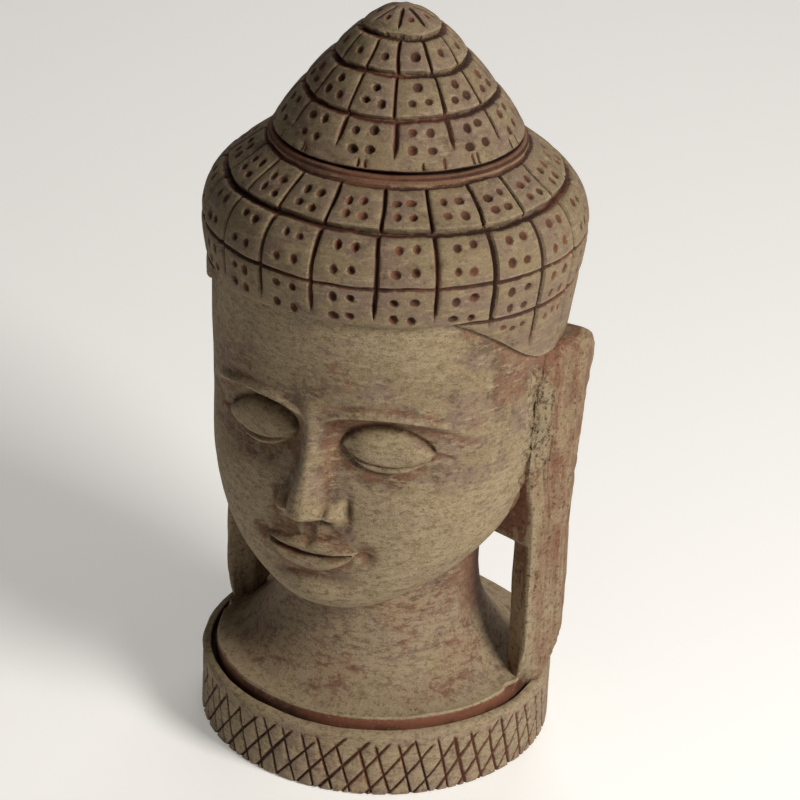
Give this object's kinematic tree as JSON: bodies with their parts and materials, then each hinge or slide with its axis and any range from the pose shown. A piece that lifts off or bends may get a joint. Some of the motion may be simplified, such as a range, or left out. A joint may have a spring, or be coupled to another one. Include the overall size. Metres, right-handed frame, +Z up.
{
  "type": "stone buddha head",
  "caption": "Carved stone Buddha head with a tiled hair cap, a topknot and long ears, in one piece with its low round hatched stand.",
  "frame": {"origin": "middle of the flat underside of the round stand, on the floor", "axes": "+Z up from the stand to the tip of the topknot; the face looks along -Y; +X is towards the figure's left ear"},
  "size_m": [0.1025, 0.0974, 0.2],
  "materials": {
    "painted_stone": "matt, aged, khaki-tan with red-brown in the carved lines"
  },
  "bodies": {
    "root": {"buddha_head": "painted_stone"}
  },
  "joints": []
}
